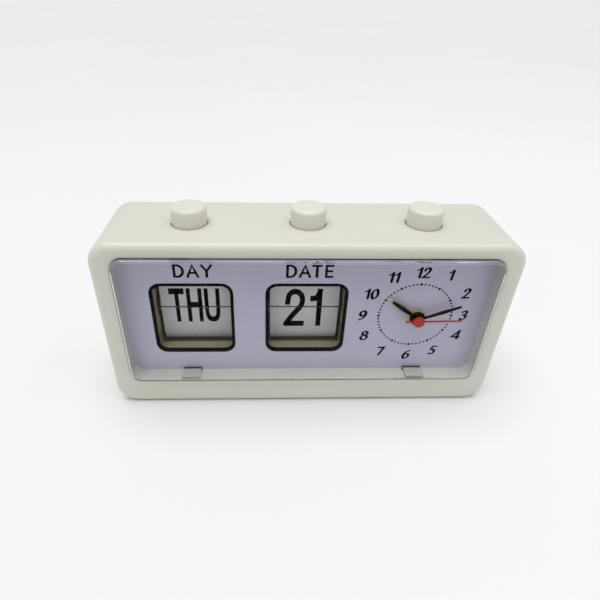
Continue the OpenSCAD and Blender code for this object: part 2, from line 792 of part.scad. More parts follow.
module at_movement_ears() for (sx = [-1, 1])
    translate([hands_x + sx * (movement_w / 2 + ear_hole_x), 0, hands_z]) children();

module movement_case() color("darkslategray") difference() {
    union() {
        at_hands() {
            tray_box(movement_d, movement_back - cover_t);
            rod_y(dial_d - 0.2, plate_d, bush_r);
            box([-movement_w / 2 - ear_out, movement_d, -ear_out],
                [movement_w / 2 + ear_out, plate_d, ear_out]);
        }
    }
    at_hands() rod_y(dial_d - over, plate_d + over, alarm_r + fit);
    at_movement_ears() rod_y(movement_d - over, plate_d + over, screw_r + slip);
    for (sx = [-1, 1]) at_knob(sx) rod_y(movement_d - over, plate_d + over, knob_pivot_r + fit);
}

// An open box with its floor at depth d0
module tray_box(d0, d1) difference() {
    box([-movement_w / 2, d0, -movement_h / 2], [movement_w / 2, d1, movement_h / 2]);
    box([-movement_w / 2 + movement_wall, d0 + movement_wall, -movement_h / 2 + movement_wall],
        [movement_w / 2 - movement_wall, d1 + over, movement_h / 2 - movement_wall]);
}

module movement_cover() color("dimgray") difference() {
    at_hands() translate([0, movement_back, 0]) mirror([0, 1, 0]) tray_box(0, cover_t);
    for (sx = [-1, 1]) at_knob(sx) rod_y(movement_back - cover_t, movement_back + over, knob_stem_r + fit);
}

module movement_screws() color("silver") at_movement_ears()
    translate([0, plate_d, 0]) screw(screw_r, movement_screw_len, screw_head_r, screw_head_t);

// Straight-sided teeth in X and Z, one of them in the direction of angle a
module gear_outline(teeth, a) {
    pitch = 360 / teeth;
    root_r = gear_module * teeth / 2 - gear_dedendum;
    tip_r = gear_module * teeth / 2 + gear_addendum;
    corners = [[-root_share, root_r], [-tip_share, tip_r], [tip_share, tip_r], [root_share, root_r]];
    polygon([for (k = [0:teeth - 1], c = corners) let (turn = a + pitch * (k + c[0]))
        c[1] * [cos(turn), sin(turn)]]);
}

// Wheels stand in layers behind the front wall of the movement, and layer 0 is the first
function layer_d(k) = plate_d + wheel_gap + k * (wheel_t + wheel_gap);

module gear(k, teeth, a) plate_y(layer_d(k), layer_d(k) + wheel_t) gear_outline(teeth, a);

// Direction from the hands to a setting knob
function knob_angle(sx) = atan2(-knob_drop, sx * knob_x);

// The gear on a knob's stem has a gap where the wheel on the hands' axis has a tooth
function facing_gap(sx, teeth) = knob_angle(sx) + 180 + 180 / teeth;

// A pipe that carries a hand, with its wheel inside the movement
module hand_wheel(front_d, back_d, bore_r, pipe_r) at_hands() difference() {
    union() {
        rod_y(front_d, back_d, pipe_r);
        children();
    }
    rod_y(front_d - over, back_d + over, bore_r);
}

module alarm_wheel() color("linen")
    hand_wheel(alarm_hand_d - hand_t, layer_d(0) + wheel_t, hour_r + fit, alarm_r)
        gear(0, wheel_teeth, knob_angle(-1));

module hour_wheel() color("linen")
    hand_wheel(hour_hand_d - hand_t, layer_d(1) + wheel_t, minute_r + fit, hour_r)
        gear(1, wheel_teeth, knob_angle(1));

module centre_wheel() color("linen")
    hand_wheel(minute_hand_d - hand_t, layer_d(3) + wheel_t, second_r + fit, minute_r) {
        gear(2, centre_teeth, knob_angle(1));
        gear(3, minute_teeth, 0);
    }

module second_arbor() color("silver") at_hands() {
    rod_y(second_hand_d - hand_t, movement_back - movement_wall - fit, second_r);
    gear(4, second_teeth, 0);
}

// Minute wheel with its pinion, pressed on the stem of the time knob
module minute_wheel() color("linen") at_knob(1) difference() {
    union() {
        plate_y(layer_d(1), layer_d(2) + wheel_t / 2)
            gear_outline(pinion_teeth, facing_gap(1, pinion_teeth));
        gear(2, minute_teeth, facing_gap(1, minute_teeth));
    }
    rod_y(layer_d(0), layer_d(4), knob_pivot_r + press_fit);
}

module alarm_pinion() color("linen") at_knob(-1) difference() {
    gear(0, pinion_teeth, facing_gap(-1, pinion_teeth));
    rod_y(layer_d(0) - over, layer_d(1), knob_pivot_r + press_fit);
}

// Blade of a hand in X and Z that points up: its widths at the root, at the belly and at the tip
module blade(widths, length, tail = 0)
    polygon([[-widths[0] / 2, -tail], [-widths[1] / 2, belly_share * length], [-widths[2] / 2, length],
        [widths[2] / 2, length], [widths[1] / 2, belly_share * length], [widths[0] / 2, -tail]]);

// A hand on its pipe, turned clockwise from twelve
module hand(back_d, angle, bore_r, hub) at_hands() difference() {
    union() {
        rod_y(back_d - hand_t, back_d, hub);
        plate_y(back_d - hand_t, back_d) rotate(-angle) children();
    }
    rod_y(back_d - hand_t - over, back_d + over, bore_r + press_fit);
}

module alarm_hand() color("khaki") hand(alarm_hand_d, 30 * shown_alarm, alarm_r, alarm_r + hub_out)
    blade(alarm_blade, alarm_len);

module hour_hand() color("black")
    hand(hour_hand_d, 30 * (shown_hour + shown_minute / 60), hour_r, hour_r + hub_out)
        blade(hour_blade, hour_len);

module minute_hand() color("black") hand(minute_hand_d, 6 * shown_minute, minute_r, minute_r + hub_out)
    blade(minute_blade, minute_len);

module second_hand() color("firebrick") {
    hand(second_hand_d, 6 * shown_second, second_r, second_boss_r)
        blade(second_blade, second_len, second_tail);
    at_hands() rod_y(second_hand_d - hand_t - second_boss_t, second_hand_d - hand_t, second_boss_r);
}

module set_knob(sx) color("ivory") at_knob(sx) difference() {
    union() {
        rod_y(knob_d, knob_d + knob_t, knob_r);
        rod_y(layer_d(4), knob_d + knob_t / 2, knob_stem_r);
        rod_y(movement_d, layer_d(4) + wheel_t, knob_pivot_r);
    }
    for (k = [0:knob_flutes - 1]) rotate([0, 360 * k / knob_flutes, 0]) translate([knob_r + 0.1, 0, 0])
        rod_y(case_d - knob_well_d, case_d + over, flute_r, $fn = 24);
}

// Stepping motor and circuit board, on the inside of the movement's front wall

module motor_stator() color("silver") at_hands() {
    d = plate_d + fit;
    top = stator_z + stator_h;
    difference() {
        box([-stator_w / 2, d, stator_z], [stator_w / 2, d + stator_t, top]);
        box([-coil_len / 2, d - over, stator_z + stator_arm],
            [coil_len / 2, d + stator_t + over, top + over]);
        translate([0, 0, stator_z + stator_arm / 2]) rod_y(d - over, d + stator_t + over, rotor_hole_r);
    }
}

// A bobbin wound with wire, across the two arms of the stator
module motor_coil() color("chocolate") at_hands()
    translate([0, plate_d + stator_t + 2 * fit + bobbin_r, stator_z + stator_h - bobbin_r]) {
        rod_x(-coil_len / 2, coil_len / 2, coil_r);
        for (side = [0, 1]) mirror([side, 0, 0]) {
            rod_x(coil_len / 2, coil_len / 2 + bobbin_t, bobbin_r);
            rod_x(coil_len / 2 + bobbin_t, stator_w / 2, bobbin_core_r);
        }
    }

module circuit_board() color("darkgreen") at_hands() {
    d = plate_d + fit;
    z = -movement_h / 2 + movement_wall + slip;
    box([-board_w / 2, d, z], [board_w / 2, d + board_t, z + board_h]);
    translate([0, d + board_t, z + board_h / 2])
        box([-chip_w / 2, 0, -chip_w / 2], [chip_w / 2, chip_t, chip_w / 2]);
    for (sx = [-1, 1]) translate([sx * board_w / 3, d + board_t, z + board_h / 2])
        rod_x(-crystal_len / 2, crystal_len / 2, crystal_r);
}

// Alarm switch on top of the movement, pressed by the right button

module alarm_switch() color("black") translate([hands_x, parting_d, switch_z]) difference() {
    box([-switch_w / 2, -switch_w / 2, 0], [switch_w / 2, switch_w / 2, switch_h]);
    box([-plunger_w / 2 - fit, -plunger_w / 2 - fit, switch_floor],
        [plunger_w / 2 + fit, plunger_w / 2 + fit, switch_h + over]);
}

module switch_plunger() color("white") translate([hands_x, parting_d, switch_z])
    box([-plunger_w / 2, -plunger_w / 2, switch_floor + plunger_up],
        [plunger_w / 2, plunger_w / 2, switch_h + plunger_up]);

// Battery, contacts, door and buzzer

module battery() color("gray") at_cell() translate([0, cell_d, 0]) {
    rod_x(-cell_len / 2, cell_len / 2, cell_r);
    rod_x(cell_len / 2, cell_len / 2 + nub_len, nub_r);
}

module battery_spring_contact() color("silver") at_cell() {
    plate_x = -bay_len / 2 + contact_t;
    box([plate_x - contact_t + fit, cell_d - contact_w / 2, -contact_w / 2],
        [plate_x, cell_d + contact_w / 2, contact_w / 2]);
    translate([plate_x - cone_wire_r, cell_d, 0]) rotate([0, 90, 0])
        coil(cone_foot_r, cone_head_r, cone_wire_r, cone_len, cone_turns);
}

module battery_plate_contact() color("silver") at_cell() {
    box([bay_len / 2 - contact_t, cell_d - contact_w / 2, -contact_w / 2],
        [bay_len / 2 - fit, cell_d + contact_w / 2, contact_w / 2]);
    translate([0, cell_d, 0]) rod_x(cell_len / 2 + nub_len + fit, bay_len / 2 - contact_t, nub_r + slip);
}

module battery_door() color("ivory") at_cell() difference() {
    union() {
        box([-bay_len / 2 - door_ledge + door_gap, door_seat_d + fit, -bay_h / 2 - door_ledge + door_gap],
            [bay_len / 2 + door_ledge - door_gap, case_d, bay_h / 2 + door_ledge - door_gap]);
        for (z = [-bay_h / 4, bay_h / 4])
            box([-bay_len / 2 + web_t, case_d - wall, z - door_rib_t / 2],
                [bay_len / 2 - web_t, case_d - door_t / 2, z + door_rib_t / 2]);
    }
    for (k = [0:2]) translate([bay_len / 2 - grip_inset - grip_pitch * k, 0, 0])
        box([-grip_w / 2, case_d - grip_deep, -bay_h / 4], [grip_w / 2, case_d + over, bay_h / 4]);
}

module buzzer() color("goldenrod") translate([hands_x, 0, buzzer_z]) {
    disc_d = case_d - wall - fit - buzzer_disc_t;
    rod_y(disc_d, case_d - wall - fit, buzzer_r);
    rod_y(disc_d - slip, disc_d, 0.7 * buzzer_r);
}

placed() front_case();
placed() rear_case();
placed() lens();
placed() dial_plate();
placed() dial_screws();
placed() case_screws();
placed() push_button(-bay_pitch, stem_end_z);  // day_button
placed() push_button(0, stem_end_z);  // date_button
placed() push_button(hands_x, alarm_stem_z);  // alarm_button
placed() button_spring(-bay_pitch, bridge_top, arm_z);  // day_button_spring
placed() button_spring(0, bridge_top, arm_z);  // date_button_spring
placed() button_spring(hands_x, switch_top, cap_roof);  // alarm_button_spring
placed() pawl_arm(day);  // day_pawl_arm
placed() pawl_arm(date);  // date_pawl_arm
placed() flip_frame(day);  // day_frame
placed() flip_frame(date);  // date_frame
placed() flip_axle(day);  // day_axle
placed() flip_axle(date);  // date_axle
placed() flip_drum(day);  // day_drum
placed() flip_drum(date);  // date_drum
placed() ratchet(day);  // day_ratchet
placed() ratchet(date);  // date_ratchet
placed() raised_leaves(day);  // day_raised_leaves
placed() raised_leaves(date);  // date_raised_leaves
placed() fallen_leaves(day);  // day_fallen_leaves
placed() fallen_leaves(date);  // date_fallen_leaves
placed() front_leaf(day);  // day_front_leaf
placed() front_leaf(date);  // date_front_leaf
placed() click_spring(day);  // day_click_spring
placed() click_spring(date);  // date_click_spring
placed() movement_case();
placed() movement_cover();
placed() movement_screws();
placed() alarm_wheel();
placed() hour_wheel();
placed() centre_wheel();
placed() second_arbor();
placed() minute_wheel();
placed() alarm_pinion();
placed() motor_stator();
placed() motor_coil();
placed() circuit_board();
placed() alarm_hand();
placed() hour_hand();
placed() minute_hand();
placed() second_hand();
placed() set_knob(1);  // time_set_knob
placed() set_knob(-1);  // alarm_set_knob
placed() alarm_switch();
placed() switch_plunger();
placed() battery();
placed() battery_spring_contact();
placed() battery_plate_contact();
placed() battery_door();
placed() buzzer();
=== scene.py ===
import json
import math

import bmesh
import bpy
from mathutils import Matrix, Vector


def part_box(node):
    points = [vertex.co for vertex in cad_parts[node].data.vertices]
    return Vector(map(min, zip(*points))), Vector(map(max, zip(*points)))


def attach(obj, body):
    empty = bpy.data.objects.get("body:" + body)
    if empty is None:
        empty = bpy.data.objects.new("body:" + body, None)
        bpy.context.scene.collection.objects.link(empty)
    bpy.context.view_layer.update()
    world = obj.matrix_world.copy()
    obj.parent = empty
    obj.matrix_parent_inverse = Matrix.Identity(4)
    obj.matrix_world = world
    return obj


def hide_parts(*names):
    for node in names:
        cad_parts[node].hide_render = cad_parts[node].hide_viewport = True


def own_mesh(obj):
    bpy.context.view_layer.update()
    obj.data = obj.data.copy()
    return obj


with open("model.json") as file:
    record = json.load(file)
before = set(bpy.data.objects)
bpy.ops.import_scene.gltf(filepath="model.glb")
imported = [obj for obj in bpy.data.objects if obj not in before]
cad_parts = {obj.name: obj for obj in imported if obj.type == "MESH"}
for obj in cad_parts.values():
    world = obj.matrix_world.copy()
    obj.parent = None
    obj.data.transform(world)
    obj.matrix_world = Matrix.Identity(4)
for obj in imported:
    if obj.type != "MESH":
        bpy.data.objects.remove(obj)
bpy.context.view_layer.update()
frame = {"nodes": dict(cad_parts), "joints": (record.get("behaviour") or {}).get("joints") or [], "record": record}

MM = 0.001


def add_object(name, data):
    """An object in the scene for a mesh, a lamp or a camera."""
    made = bpy.data.objects.new(name, data)
    bpy.context.scene.collection.objects.link(made)
    return made


# Materials: every tone is an sRGB colour from 0 to 255, and lengths are in metres

# Most values of a noise texture lie between these
NOISE_LOW, NOISE_HIGH = 0.3, 0.7

# For each kind of surface: how large its features are, how deep its grain is,
# and how far its roughness wanders down and up
MOULD_CLOUD = 0.025
MOULD_GRAIN, MOULD_GRAIN_DEPTH, MOULD_GRAIN_DETAIL = 0.0004, 0.000003, 2.0
MOULD_SMOOTHER, MOULD_ROUGHER = 0.02, 0.03
METAL_LINES, METAL_LINE_DEPTH = 0.0006, 0.000004
METAL_SMOOTHER, METAL_ROUGHER = 0.08, 0.1
PAINT_CLOUD, PAINT_GLOSS_CLOUD = 0.002, 0.0015
PAINT_GRAIN, PAINT_GRAIN_DEPTH = 0.00025, 0.000002
PAINT_SMOOTHER, PAINT_ROUGHER = 0.05, 0.08
CLEAR_TONE = (250, 251, 252)
CLEAR_CLOUD, CLEAR_SPREAD = 0.03, 0.5
LIGHT_PASSED = (0.95, 0.95, 0.96, 1)
MILKY_ROUGHNESS = 0.5


def linear(tone):
    """The linear colour of an sRGB tone, by the curve of the sRGB standard."""
    shares = [c / 255 for c in tone]
    return [s / 12.92 if s <= 0.04045 else ((s + 0.055) / 1.055) ** 2.4 for s in shares]


def shader_of(made):
    return made.node_tree.nodes["Principled BSDF"]


def material(name, tone, roughness, **sockets):
    """A Principled material; further sockets are named with _ for a space."""
    made = bpy.data.materials.new(name)
    made.use_nodes = True
    inputs = shader_of(made).inputs
    inputs["Base Color"].default_value = (*linear(tone), 1)
    inputs["Roughness"].default_value = roughness
    for socket, value in sockets.items():
        inputs[socket.replace("_", " ")].default_value = value
    return made


def noise(made, feature, detail=3.0, stretch=(1, 1, 1)):
    """Noise in the part's own space, with features about this large."""
    tree = made.node_tree
    place = tree.nodes.new("ShaderNodeTexCoord")
    scale = tree.nodes.new("ShaderNodeMapping")
    scale.inputs["Scale"].default_value = stretch
    texture = tree.nodes.new("ShaderNodeTexNoise")
    texture.inputs["Scale"].default_value = 1 / feature
    texture.inputs["Detail"].default_value = detail
    tree.links.new(place.outputs["Object"], scale.inputs["Vector"])
    tree.links.new(scale.outputs["Vector"], texture.inputs["Vector"])
    return texture.outputs["Fac"]


def mottle(made, tones, feature, spread=0.18, **noise_options):
    """Base colour that wanders between two tones."""
    tree = made.node_tree
    ramp = tree.nodes.new("ShaderNodeValToRGB")
    ramp.color_ramp.elements[0].position = 0.5 - spread
    ramp.color_ramp.elements[1].position = 0.5 + spread
    for element, tone in zip(ramp.color_ramp.elements, tones):
        element.color = (*linear(tone), 1)
    tree.links.new(noise(made, feature, **noise_options), ramp.inputs["Fac"])
    tree.links.new(ramp.outputs["Color"], shader_of(made).inputs["Base Color"])


def polish(made, low, high, feature, **noise_options):
    """Roughness that wanders between two values."""
    tree = made.node_tree
    limits = tree.nodes.new("ShaderNodeMapRange")
    limits.inputs["From Min"].default_value = NOISE_LOW
    limits.inputs["From Max"].default_value = NOISE_HIGH
    limits.inputs["To Min"].default_value = low
    limits.inputs["To Max"].default_value = high
    tree.links.new(noise(made, feature, **noise_options), limits.inputs["Value"])
    tree.links.new(limits.outputs["Result"], shader_of(made).inputs["Roughness"])


def grain(made, feature, depth, **noise_options):
    """A fine bump of the surface."""
    tree = made.node_tree
    bump = tree.nodes.new("ShaderNodeBump")
    bump.inputs["Distance"].default_value = depth
    tree.links.new(noise(made, feature, **noise_options), bump.inputs["Height"])
    tree.links.new(bump.outputs["Normal"], shader_of(made).inputs["Normal"])


def moulded(name, tones, roughness, feature=MOULD_CLOUD, **sockets):
    """Injection-moulded plastic: faint cloudiness, uneven gloss and a fine spark-eroded grain."""
    made = material(name, tones[0], roughness, **sockets)
    mottle(made, tones, feature)
    polish(made, roughness - MOULD_SMOOTHER, roughness + MOULD_ROUGHER, feature)
    grain(made, MOULD_GRAIN, MOULD_GRAIN_DEPTH, detail=MOULD_GRAIN_DETAIL)
    return made


def rolled_metal(name, tones, roughness, stretch, **sockets):
    """Metal with lines along the direction in which it was rolled, turned or wound."""
    made = material(name, tones[0], roughness, Metallic=1.0, **sockets)
    mottle(made, tones, METAL_LINES, stretch=stretch)
    polish(made, roughness - METAL_SMOOTHER, roughness + METAL_ROUGHER, METAL_LINES, stretch=stretch)
    grain(made, METAL_LINES, METAL_LINE_DEPTH, stretch=stretch)
    return made


def painted(name, tones, roughness, **sockets):
    """A thin even coat of paint or ink."""
    made = material(name, tones[0], roughness, **sockets)
    mottle(made, tones, PAINT_CLOUD)
    polish(made, roughness - PAINT_SMOOTHER, roughness + PAINT_ROUGHER, PAINT_GLOSS_CLOUD)
    grain(made, PAINT_GRAIN, PAINT_GRAIN_DEPTH)
    return made


def pass_light(made):
    """Lets the lamps through to what is behind a clear or milky surface."""
    tree = made.node_tree
    path = tree.nodes.new("ShaderNodeLightPath")
    through = tree.nodes.new("ShaderNodeBsdfTransparent")
    through.inputs["Color"].default_value = LIGHT_PASSED
    mix = tree.nodes.new("ShaderNodeMixShader")
    tree.links.new(path.outputs["Is Shadow Ray"], mix.inputs["Fac"])
    tree.links.new(shader_of(made).outputs["BSDF"], mix.inputs[1])
    tree.links.new(through.outputs["BSDF"], mix.inputs[2])
    tree.links.new(mix.outputs["Shader"], tree.nodes["Material Output"].inputs["Surface"])
    return made


def clear_plastic(name, ior, shine, frost, **sockets):
    """Clear plastic, frosted by a roughness."""
    made = material(name, CLEAR_TONE, frost, Transmission_Weight=1.0, IOR=ior,
                    Specular_Tint=(shine, shine, shine, 1), **sockets)
    polish(made, (1 - CLEAR_SPREAD) * frost, (1 + CLEAR_SPREAD) * frost, CLEAR_CLOUD)
    return pass_light(made)


def milky_plastic(name, tones, clearness):
    """Clear plastic that scatters light where it is thin or moulded against a rough face; the window's bright edge
    strip uses it as a painted highlight.
    """
    return pass_light(moulded(name, tones, MILKY_ROUGHNESS, Transmission_Weight=clearness))


LINES_ALONG_X = (0.03, 1, 1)
LINES_AROUND_X = (1, 0.05, 0.05)
SLOT_MATERIALS = {
    "case_plastic": moulded("case_ivory", ((211, 210, 198), (215, 214, 203)), 0.3, feature=0.05),
    "clear_plastic": clear_plastic("window_clear", 1.22, 0.08, 0.02),
    "dial_print": painted("dial_lilac_grey", ((202, 197, 218), (205, 200, 221)), 0.55),
    "beige_plastic": moulded("frame_beige", ((170, 163, 132), (182, 174, 142)), 0.5, feature=0.01),
    "leaf_white": painted("leaf_card", ((219, 215, 219), (227, 223, 226)), 0.6),
    "dark_plastic": moulded("drum_dark", ((52, 50, 46), (62, 59, 53)), 0.45, feature=0.008),
    "white_nylon": moulded("nylon_white", ((224, 222, 212), (232, 230, 222)), 0.42, feature=0.008),
    "black_plastic": moulded("movement_black", ((36, 37, 39), (44, 45, 47)), 0.48, feature=0.012),
    "steel": rolled_metal("steel_plated", ((190, 190, 188), (206, 206, 203)), 0.28, LINES_ALONG_X),
    "bronze": rolled_metal("bronze_strip", ((206, 172, 108), (220, 188, 124)), 0.3, LINES_ALONG_X),
    "copper": rolled_metal("copper_winding", ((176, 92, 52), (196, 110, 66)), 0.34, LINES_AROUND_X),
    "board_green": moulded("board_green", ((38, 92, 58), (46, 104, 66)), 0.4, feature=0.006),
    "hand_black": painted("hand_black", ((8, 8, 9), (13, 13, 14)), 0.5, Specular_IOR_Level=0.1),
    "hand_red": painted("hand_red", ((188, 42, 32), (198, 50, 38)), 0.45, Specular_IOR_Level=0.3),
    "hand_yellow": painted("hand_yellow", ((206, 204, 112), (216, 214, 124)), 0.5),
    "cell_wrap": painted("cell_wrap", ((120, 124, 132), (132, 136, 144)), 0.3),
}
# Painted light: a lighter copy of the case plastic, so that the buttons look brighter, as if they caught more
# light
BUTTON_PAINTED_LIGHT = moulded("button_ivory_painted_light", ((218, 217, 204), (222, 221, 209)), 0.28, feature=0.02)
INK = painted("ink_black", ((8, 8, 10), (13, 13, 15)), 0.6, Specular_IOR_Level=0.06)
WINDOW_RIM = clear_plastic("window_rim_satin", 1.25, 1.0, 0.4,
                           Coat_Weight=1.0, Coat_Roughness=0.08, Coat_IOR=1.7)
WINDOW_TAB = milky_plastic("window_tab_milky", ((204, 203, 194), (210, 209, 200)), 0.2)
# Painted highlight: a bright milky material for the strips at the window's ends, standing in for light bent in the
# edge
WINDOW_PAINTED_HIGHLIGHT = milky_plastic("window_painted_highlight", ((236, 236, 238), (242, 242, 244)), 0.15)
# Painted shade: a dark material for the strips of the window's edge and for its hooks, where there is only shadow
# in the gap and in the slots
WINDOW_PAINTED_SHADE = moulded("window_painted_shade", ((48, 47, 50), (56, 55, 58)), 0.5)

for subpart in frame["record"]["subparts"]:
    is_button = subpart["node"].endswith("_button")
    mesh = frame["nodes"][subpart["node"]].data
    mesh.materials.clear()
    mesh.materials.append(BUTTON_PAINTED_LIGHT if is_button else SLOT_MATERIALS[subpart["material_slot"]])


# Lettering: strokes of a pen, in millimetres on a face with u to the right and v up

# Each end of an open path, with the point next to it
PATH_ENDS = ((0, 1), (-1, -2))
ROUND_END_STEPS = 6
# A stroke widens at a bend by no more than 1 over this
LEAST_MITRE = 0.6


def smooth(points, closed=False, steps=8):
    """Points on a smooth cubic curve through the given ones."""
    count = len(points)
    path = []
    for i in range(count if closed else count - 1):
        if closed:
            a, b, c, d = (points[(i + k) % count] for k in (-1, 0, 1, 2))
        else:
            a, b, c, d = (points[min(max(i + k, 0), count - 1)] for k in (-1, 0, 1, 2))
        for k in range(steps):
            t = k / steps
            path.append(tuple(
                b[j] + 0.5 * t * (c[j] - a[j] + t * (2 * a[j] - 5 * b[j] + 4 * c[j] - d[j]
                                                     + t * (3 * (b[j] - c[j]) + d[j] - a[j])))
                for j in (0, 1)
            ))
    return path if closed else path + [points[-1]]


def nib_reach(nib, direction):
    """How far a nib of half-axes a and b, turned by an angle, reaches in a direction."""
    a, b, turn = nib
    along = direction.x * math.cos(turn) + direction.y * math.sin(turn)
    across = direction.y * math.cos(turn) - direction.x * math.sin(turn)
    return math.hypot(a * along, b * across)


def draw_stroke(bm, path, nib, closed=False, round_ends=False):
    """Faces of one pen stroke along a path."""
    points = [Vector(p) for p in path]
    count = len(points)
    if not closed and not round_ends:
        for end, inner in PATH_ENDS:
            out = (points[end] - points[inner]).normalized()
            points[end] = points[end] + out * nib_reach(nib, out)
    pairs = []
    for i, point in enumerate(points):
        before = points[i - 1] if closed or i > 0 else None
        after = points[(i + 1) % count] if closed or i < count - 1 else None
        steps = [(point - before).normalized()] if before is not None else []
        steps += [(after - point).normalized()] if after is not None else []
        along = sum(steps, Vector((0, 0))).normalized()
        normal = Vector((-along.y, along.x))
        mitre = max(LEAST_MITRE, abs(along.dot(steps[0])))
        side = normal * nib_reach(nib, normal) / mitre
        pairs.append((bm.verts.new((*(point + side), 0)), bm.verts.new((*(point - side), 0))))
    for i in range(count if closed else count - 1):
        (a, b), (c, d) = pairs[i], pairs[(i + 1) % count]
        bm.faces.new((a, b, d, c))
    if round_ends and not closed:
        for end, inner in PATH_ENDS:
            out = (points[end] - points[inner]).normalized()
            left, right = pairs[end]
            middle = points[end]
            half = Vector(left.co.xy) - middle
            reach = nib_reach(nib, out)
            turns = [math.pi * k / ROUND_END_STEPS for k in range(1, ROUND_END_STEPS)]
            arc = [
                bm.verts.new((*(middle + half * math.cos(t) + out * reach * math.sin(t)), 0))
                for t in turns
            ]
            loop = [left, *arc, right]
            bm.faces.new(loop if end == 0 else loop[::-1])


# Glyphs in a box of about width 1 and height 1: straight (S), curved (C) and closed (O) strokes
PLAIN = {
    "A": [("S", [(0, 0), (0.5, 1), (1, 0)]), ("S", [(0.22, 0.34), (0.78, 0.34)])],
    "D": [("S", [(0, 0), (0, 1)]),
          ("C", [(0, 1), (0.5, 1), (0.9, 0.78), (1, 0.5), (0.9, 0.22), (0.5, 0), (0, 0)])],
    "E": [("S", [(1, 1), (0, 1), (0, 0), (1, 0)]), ("S", [(0, 0.52), (0.88, 0.52)])],
    "F": [("S", [(1, 1), (0, 1), (0, 0)]), ("S", [(0, 0.52), (0.85, 0.52)])],
    "H": [("S", [(0, 0), (0, 1)]), ("S", [(1, 0), (1, 1)]), ("S", [(0, 0.52), (1, 0.52)])],
    "I": [("S", [(0.5, 0), (0.5, 1)])],
    "R": [("S", [(0, 0), (0, 1)]), ("C", [(0, 1), (0.6, 1), (0.98, 0.78), (0.6, 0.5), (0, 0.5)]),
          ("S", [(0.5, 0.5), (1, 0)])],
    "T": [("S", [(0, 1), (1, 1)]), ("S", [(0.5, 1), (0.5, 0)])],
    "U": [("C", [(0, 1), (0, 0.6), (0.02, 0.22), (0.2, 0.04), (0.5, 0), (0.8, 0.04), (0.98, 0.22),
                 (1, 0.6), (1, 1)])],
    "Y": [("S", [(0, 1), (0.5, 0.5), (1, 1)]), ("S", [(0.5, 0.5), (0.5, 0)])],
    "1": [("S", [(0.8, 0), (0.8, 1)]), ("C", [(0, 0.79), (0.35, 0.8), (0.6, 0.88), (0.78, 1)])],
    "2": [("C", [(0.05, 0.68), (0.12, 0.88), (0.32, 0.98), (0.5, 1), (0.72, 0.97), (0.93, 0.85),
                 (0.96, 0.68), (0.82, 0.52), (0.5, 0.34), (0.2, 0.16), (0, 0)]),
          ("S", [(0, 0), (0.96, 0)])],
}
PEN = {
    "0": [("O", [(0.5, 1), (0.1, 0.75), (0.02, 0.45), (0.18, 0.08), (0.5, 0), (0.9, 0.25),
                 (0.98, 0.55), (0.82, 0.92)])],
    "1": [("C", [(0.1, 0.78), (0.4, 0.86), (0.62, 1)]), ("S", [(0.62, 1), (0.58, 0)])],
    "2": [("C", [(0.1, 0.74), (0.25, 0.94), (0.55, 1), (0.85, 0.9), (0.85, 0.68), (0.5, 0.34), (0, 0)]),
          ("C", [(0, 0), (0.4, 0.02), (0.98, 0.03)])],
    "3": [("C", [(0.14, 0.86), (0.4, 1), (0.78, 0.94), (0.8, 0.74), (0.56, 0.58), (0.36, 0.54)]),
          ("C", [(0.36, 0.54), (0.78, 0.48), (0.86, 0.26), (0.6, 0.04), (0.3, 0), (0, 0.08)])],
    "4": [("S", [(0.92, 1), (-0.14, 0.22), (1.1, 0.22)]), ("S", [(0.92, 1), (0.82, 0)])],
    "5": [("S", [(0.98, 1), (0.36, 1), (0.22, 0.58)]),
          ("C", [(0.22, 0.58), (0.55, 0.6), (0.82, 0.44), (0.78, 0.18), (0.5, 0.02), (0, 0.04)])],
    "6": [("C", [(0.95, 1), (0.5, 0.86), (0.14, 0.56), (0.02, 0.24), (0.24, 0.01), (0.64, 0.03),
                 (0.95, 0.28), (0.8, 0.55), (0.44, 0.55), (0.1, 0.34)])],
    "7": [("S", [(0.04, 0.96), (1, 0.98), (0.3, 0)])],
    "8": [("O", [(0.52, 1), (0.14, 0.86), (0.2, 0.64), (0.54, 0.54), (0.88, 0.66), (0.9, 0.88)]),
          ("O", [(0.54, 0.54), (0.1, 0.42), (-0.04, 0.2), (0.18, 0.01), (0.66, 0), (0.96, 0.18),
                 (0.92, 0.4)])],
    "9": [("C", [(0.92, 0.66), (0.58, 0.45), (0.2, 0.47), (0.04, 0.72), (0.28, 0.98), (0.68, 1),
                 (0.98, 0.76), (0.86, 0.42), (0.52, 0.14), (0.04, 0)])],
}


def draw_glyph(bm, strokes, corner, size, nib, slant=0.0, round_ends=False):
    """One glyph in a box with this lower left corner and size, which the pen's strokes just fill."""
    inset = Vector((nib_reach(nib, Vector((1, 0))), nib_reach(nib, Vector((0, 1)))))
    room = Vector(size) - 2 * inset

    def spot(point):
        u = corner[0] + inset.x + point[0] * room.x
        v = corner[1] + inset.y + point[1] * room.y
        return (u + slant * (v - corner[1] - size[1] / 2), v)

    for kind, points in strokes:
        path = [spot(p) for p in points]
        if kind != "S":
            path = smooth(path, closed=kind == "O")
        draw_stroke(bm, path, nib, closed=kind == "O", round_ends=round_ends)


# Shapes that the window, the borders and the springs share

def rounded_loop(centre, size, radius, steps=8, guard=0.15):
    """Points round a rectangle with rounded corners, with one more point just off each end of a corner."""
    points = []
    for quarter, (su, sv) in enumerate(((1, 1), (-1, 1), (-1, -1), (1, -1))):
        corner = Vector((
            centre[0] + su * (size[0] / 2 - radius),
            centre[1] + sv * (size[1] / 2 - radius),
        ))
        turns = [math.pi / 2 * (quarter + k / steps) for k in range(steps + 1)]
        arc = [corner + radius * Vector((math.cos(t), math.sin(t))) for t in turns]
        entry = guard * Vector((math.sin(turns[0]), -math.cos(turns[0])))
        leave = guard * Vector((-math.sin(turns[-1]), math.cos(turns[-1])))
        points += [arc[0] + entry, *arc, arc[-1] + leave]
    return points


